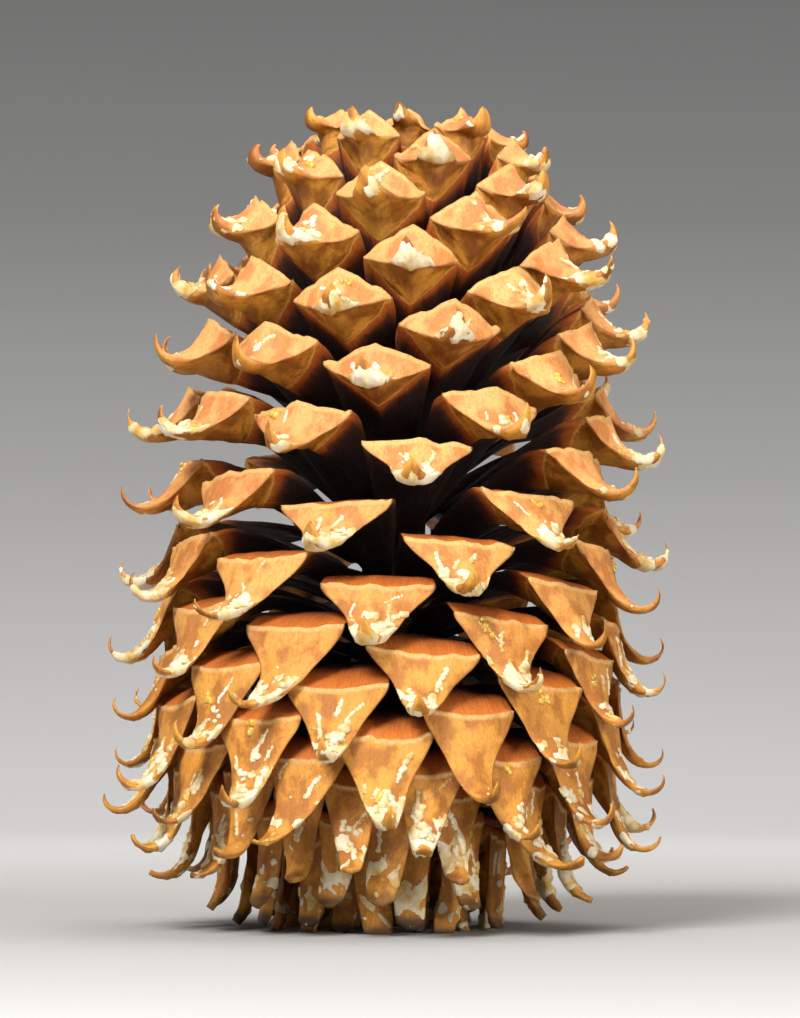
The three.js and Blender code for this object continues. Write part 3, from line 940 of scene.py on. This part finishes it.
def finish_resin(name, drops, material):
    count = len(BALL_POINTS)
    faces = np.concatenate([BALL_FACES + count * n for n in range(len(drops))])
    mesh = bpy.data.meshes.new(name)
    mesh.from_pydata(np.concatenate(drops).tolist(), [], faces.tolist())
    for face in mesh.polygons:
        face.use_smooth = True
    mesh.materials.append(material)
    piece = bpy.data.objects.new(name, mesh)
    bpy.context.collection.objects.link(piece)
    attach(piece, "root")
    print(name, len(mesh.polygons), "faces")
    return piece


spot, out = shield_spot(bend_scale(84)[0], RIDGE_RING + 8, 0.0)
print("way out of shield 84", [round(x, 2) for x in out])

# %% Resin finishes
dried = bpy.data.materials.new("dried_resin_finish")
dried.use_nodes = True
tree = dried.node_tree
surface = tree.nodes["Principled BSDF"]
where = add_node(tree, "ShaderNodeTexCoord").outputs["Object"]
millimetres = stretched(tree, where, (1000, 1000, 1000))
crusted_look = add_node(tree, "ShaderNodeGroup", node_tree=crust_group)
tree.links.new(millimetres, crusted_look.inputs["Grain"])
tree.links.new(crusted_look.outputs["Color"], surface.inputs["Base Color"])
surface.inputs["Roughness"].default_value = 0.45
bump = add_node(tree, "ShaderNodeBump", {
    "Height": crusted_look.outputs["Height"], "Strength": 0.8, "Distance": 0.0006,
})
tree.links.new(bump.outputs["Normal"], surface.inputs["Normal"])

amber = bpy.data.materials.new("clear_resin_finish")
amber.use_nodes = True
tree = amber.node_tree
surface = tree.nodes["Principled BSDF"]
where = add_node(tree, "ShaderNodeTexCoord").outputs["Object"]
cloud = noise(tree, stretched(tree, where, (400, 400, 400)), 1.0, 2.0)
tree.links.new(
    ramp(tree, cloud, [(0.35, tone(236, 176, 40)), (0.65, tone(244, 212, 110))]),
    surface.inputs["Base Color"],
)
surface.inputs["Roughness"].default_value = 0.12
surface.inputs["Transmission Weight"].default_value = 0.35
surface.inputs["IOR"].default_value = 1.54
print("resin finishes ready")

# %% Crusts, drips and beads
FIRST_WITH_DRIPS, FIRST_WITH_CRUSTS, FIRST_WITH_BEADS = 18, 35, 51
FIRST_HIGH, LAST_WITH_RESIN = 115, 189
LAST_RING = RINGS - 3
low_crusts, high_crusts, drips, beads = [], [], [], []


def add_crust(crusts, points, amount, luck):
    """Short wandering runs of drops round one place on the shield."""
    middle_ring, middle_v = RIDGE_RING + luck.uniform(12, 19), luck.uniform(-0.3, 0.3)
    for _ in range(int(2 + 4 * amount)):
        ring, v = middle_ring + luck.normal(0, 2.8), middle_v + luck.normal(0, 0.36)
        radius = luck.uniform(0.65, 1.5)
        for _ in range(int(luck.integers(4, 9))):
            place = np.clip(ring, RIDGE_RING + 2, LAST_RING), np.clip(v, -0.92, 0.92)
            spot, out = shield_spot(points, *place)
            size = radius * luck.uniform(0.6, 1.2)
            crusts.append(drop(spot, out, size, luck.uniform(0.3, 0.55), luck))
            ring, v = ring + radius * luck.normal(0.1, 0.8), v + luck.normal(0, 0.07)


def add_drip(points, luck):
    """A thin run of drops from near the ridge down the shield."""
    ring, v = RIDGE_RING + luck.uniform(1.5, 10), luck.uniform(-0.65, 0.65)
    radius, bend = luck.uniform(0.4, 0.75), luck.uniform(-0.03, 0.03)
    for _ in range(int(luck.integers(6, 15))):
        spot, out = shield_spot(points, min(ring, LAST_RING), v)
        size = radius * luck.uniform(0.7, 1.35)
        drips.append(drop(spot, out, size, luck.uniform(0.45, 0.7), luck))
        ring += radius * 0.9
        v = v * 0.985 + bend + luck.uniform(-0.03, 0.03)


def add_beads(points, luck):
    """A few clear drops side by side."""
    ring, v = RIDGE_RING + luck.uniform(1, 16), luck.uniform(-0.5, 0.5)
    for _ in range(int(luck.integers(3, 8))):
        near = max(ring + luck.normal(0, 1.0), RIDGE_RING + 0.5)
        spot, out = shield_spot(points, near, v + luck.normal(0, 0.07))
        beads.append(drop(spot, out, luck.uniform(0.6, 1.3), luck.uniform(0.6, 0.9), luck))


for scale in range(FIRST_WITH_DRIPS, LAST_WITH_RESIN + 1):
    points, _ = bend_scale(scale)
    amount = grown_shape(scale)["resin"]
    luck = np.random.default_rng(9000 + scale)
    if amount > 0.45 and scale >= FIRST_WITH_CRUSTS:
        crusts = low_crusts if scale < FIRST_HIGH else high_crusts
        add_crust(crusts, points, amount, luck)
    for _ in range(luck.integers(0, 3) + int(amount > 0.7)):
        add_drip(points, luck)
    if scale >= FIRST_WITH_BEADS and luck.uniform() < 0.4:
        add_beads(points, luck)

finish_resin("resin_crusts_lower", low_crusts, dried)
finish_resin("resin_crusts_upper", high_crusts, dried)
finish_resin("resin_drips", drips, dried)
finish_resin("resin_beads", beads, amber)

# %% [markdown]
# ## The axis
#
# The axis shows only in the deepest gaps.  Its solid already has the right shape, so it
# keeps its mesh and gets dark, fibrous wood.

# %% Axis wood
axis_wood = bpy.data.materials.new("axis_wood_finish")
axis_wood.use_nodes = True
tree = axis_wood.node_tree
surface = tree.nodes["Principled BSDF"]
where = add_node(tree, "ShaderNodeTexCoord").outputs["Object"]
wood = add_node(tree, "ShaderNodeGroup", node_tree=fibres)
tree.links.new(stretched(tree, where, (600, 600, 1500)), wood.inputs["Grain"])
colour = ramp(tree, wood.outputs["Fibres"], [(0.2, tone(34, 22, 18)), (0.8, tone(72, 46, 34))])
tree.links.new(colour, surface.inputs["Base Color"])
surface.inputs["Roughness"].default_value = 0.85
bump = add_node(tree, "ShaderNodeBump", {"Height": wood.outputs["Fibres"], "Distance": 0.0006})
tree.links.new(bump.outputs["Normal"], surface.inputs["Normal"])
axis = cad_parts["axis"]
axis.material_slots[0].material = axis_wood
print("axis wood on", axis.name)

# %% [markdown]
# ## Check the size and finish
#
# The view layer is brought up to date at the end.

# %% Finish
bpy.context.view_layer.update()
